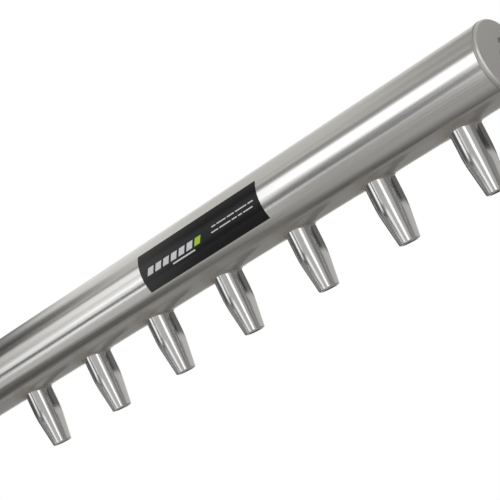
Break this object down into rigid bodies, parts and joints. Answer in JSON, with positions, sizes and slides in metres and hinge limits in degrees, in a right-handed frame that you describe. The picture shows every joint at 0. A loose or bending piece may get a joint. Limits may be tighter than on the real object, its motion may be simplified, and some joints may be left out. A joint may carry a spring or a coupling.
{
  "type": "air nozzle manifold",
  "caption": "Straight stainless tube with an open inlet, a tapped end cap and a row of welded tapering nozzles that blow supplied air in a line of jets.",
  "frame": {"origin": "centre of the end cap's outer face, on the tube's axis", "axes": "+X along the tube's axis and out of the end cap, -Z the way the nozzles blow, -Y out of the labelled front"},
  "size_m": [0.5551, 0.0512, 0.0938],
  "materials": {
    "tube_steel": "polished lengthways, satin streaks",
    "cap_steel": "turned and ground, matt",
    "nozzle_steel": "drawn and polished, bright",
    "weld_metal": "as welded, wire brushed",
    "label_vinyl": "gloss black vinyl with pale print"
  },
  "bodies": {
    "root": {"manifold_tube": "tube_steel", "end_cap": "cap_steel", "end_cap_weld": "weld_metal", "label": "label_vinyl", "nozzle_1": "nozzle_steel", "nozzle_2": "nozzle_steel", "nozzle_3": "nozzle_steel", "nozzle_4": "nozzle_steel", "nozzle_5": "nozzle_steel", "nozzle_6": "nozzle_steel", "nozzle_7": "nozzle_steel", "nozzle_weld_1": "weld_metal", "nozzle_weld_2": "weld_metal", "nozzle_weld_3": "weld_metal", "nozzle_weld_4": "weld_metal", "nozzle_weld_5": "weld_metal", "nozzle_weld_6": "weld_metal", "nozzle_weld_7": "weld_metal"}
  },
  "joints": []
}
